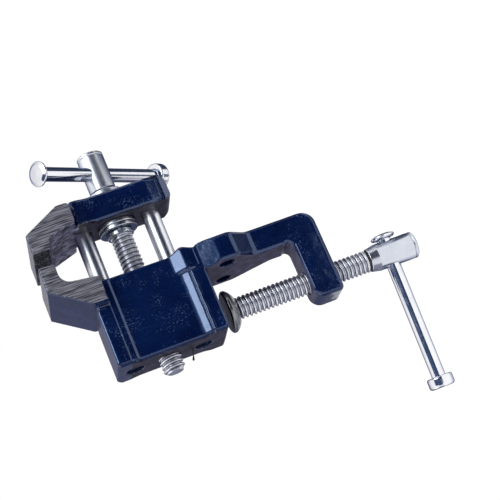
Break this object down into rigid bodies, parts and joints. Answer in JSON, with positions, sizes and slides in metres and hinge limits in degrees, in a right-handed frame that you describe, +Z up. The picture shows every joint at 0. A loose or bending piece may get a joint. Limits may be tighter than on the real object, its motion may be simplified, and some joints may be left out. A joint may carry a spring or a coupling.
{
  "type": "mini vise clamp",
  "caption": "Small clamp-on vise: a screw draws a jaw along guide rods toward a fixed jaw, and a second screw grips the bench edge.",
  "frame": {"origin": "where the axis of the bench clamp screw meets the bench seat under the body", "axes": "+X along the jaw width, +Y along the main screw away from its handle, +Z up from the bench seat to the jaws"},
  "size_m": [0.0358, 0.0964, 0.1013],
  "materials": {
    "casting_enamel": "dark blue gloss enamel over cast iron, machined bare iron on the jaw sides",
    "jaw_enamel": "dark blue gloss enamel over cast iron, machined bare iron on the jaw sides",
    "rod_steel": "bright plated",
    "screw_steel": "zinc plated",
    "washer_steel": "bright zinc",
    "clip_steel": "bright zinc",
    "handle_plating": "bright plated",
    "pad_steel": "plated steel with a dark face"
  },
  "bodies": {
    "body": {"body_casting": "casting_enamel"},
    "jaw": {"moving_jaw": "jaw_enamel", "guide_rod_upper": "rod_steel", "guide_rod_lower": "rod_steel", "thrust_washer_front": "washer_steel", "thrust_washer_rear": "washer_steel"},
    "main_screw": {"lead_screw": "screw_steel", "retaining_clip": "clip_steel"},
    "main_handle": {"lead_handle_bar": "handle_plating", "lead_handle_knob": "handle_plating"},
    "pad": {"clamp_pad": "pad_steel"},
    "bench_screw": {"clamp_screw": "screw_steel"},
    "bench_handle": {"clamp_handle_bar": "handle_plating", "clamp_handle_knob": "handle_plating"}
  },
  "joints": [
    {"name": "jaw_slide", "type": "slide", "parent": "body", "child": "jaw", "axis": [0, 1, 0], "range_m": [-0.015, 0.0039]},
    {"name": "main_screw_turn", "type": "hinge", "parent": "jaw", "child": "main_screw", "pos_m": [0, -0.0345, 0.0168], "axis": [0, 1, 0], "range_deg": [-4253, 1107]},
    {"name": "main_handle_slide", "type": "slide", "parent": "main_screw", "child": "main_handle", "axis": [-0.6374, 0, 0.7705], "range_m": [-0.0163, 0.0187]},
    {"name": "pad_slide", "type": "slide", "parent": "body", "child": "pad", "axis": [0, 0, 1], "range_m": [-0.0206, 0.00175]},
    {"name": "bench_screw_turn", "type": "hinge", "parent": "pad", "child": "bench_screw", "pos_m": [0, 0, -0.03], "axis": [0, 0, 1], "range_deg": [-5841, 498]},
    {"name": "bench_handle_slide", "type": "slide", "parent": "bench_screw", "child": "bench_handle", "axis": [0.1582, 0.9874, 0], "range_m": [-0.0326, 0]}
  ],
  "couplings": [
    {"joint": "main_screw_turn", "follows": "jaw_slide", "rad_per_m": 4947.4},
    {"joint": "bench_screw_turn", "follows": "pad_slide", "rad_per_m": 4947.4}
  ]
}
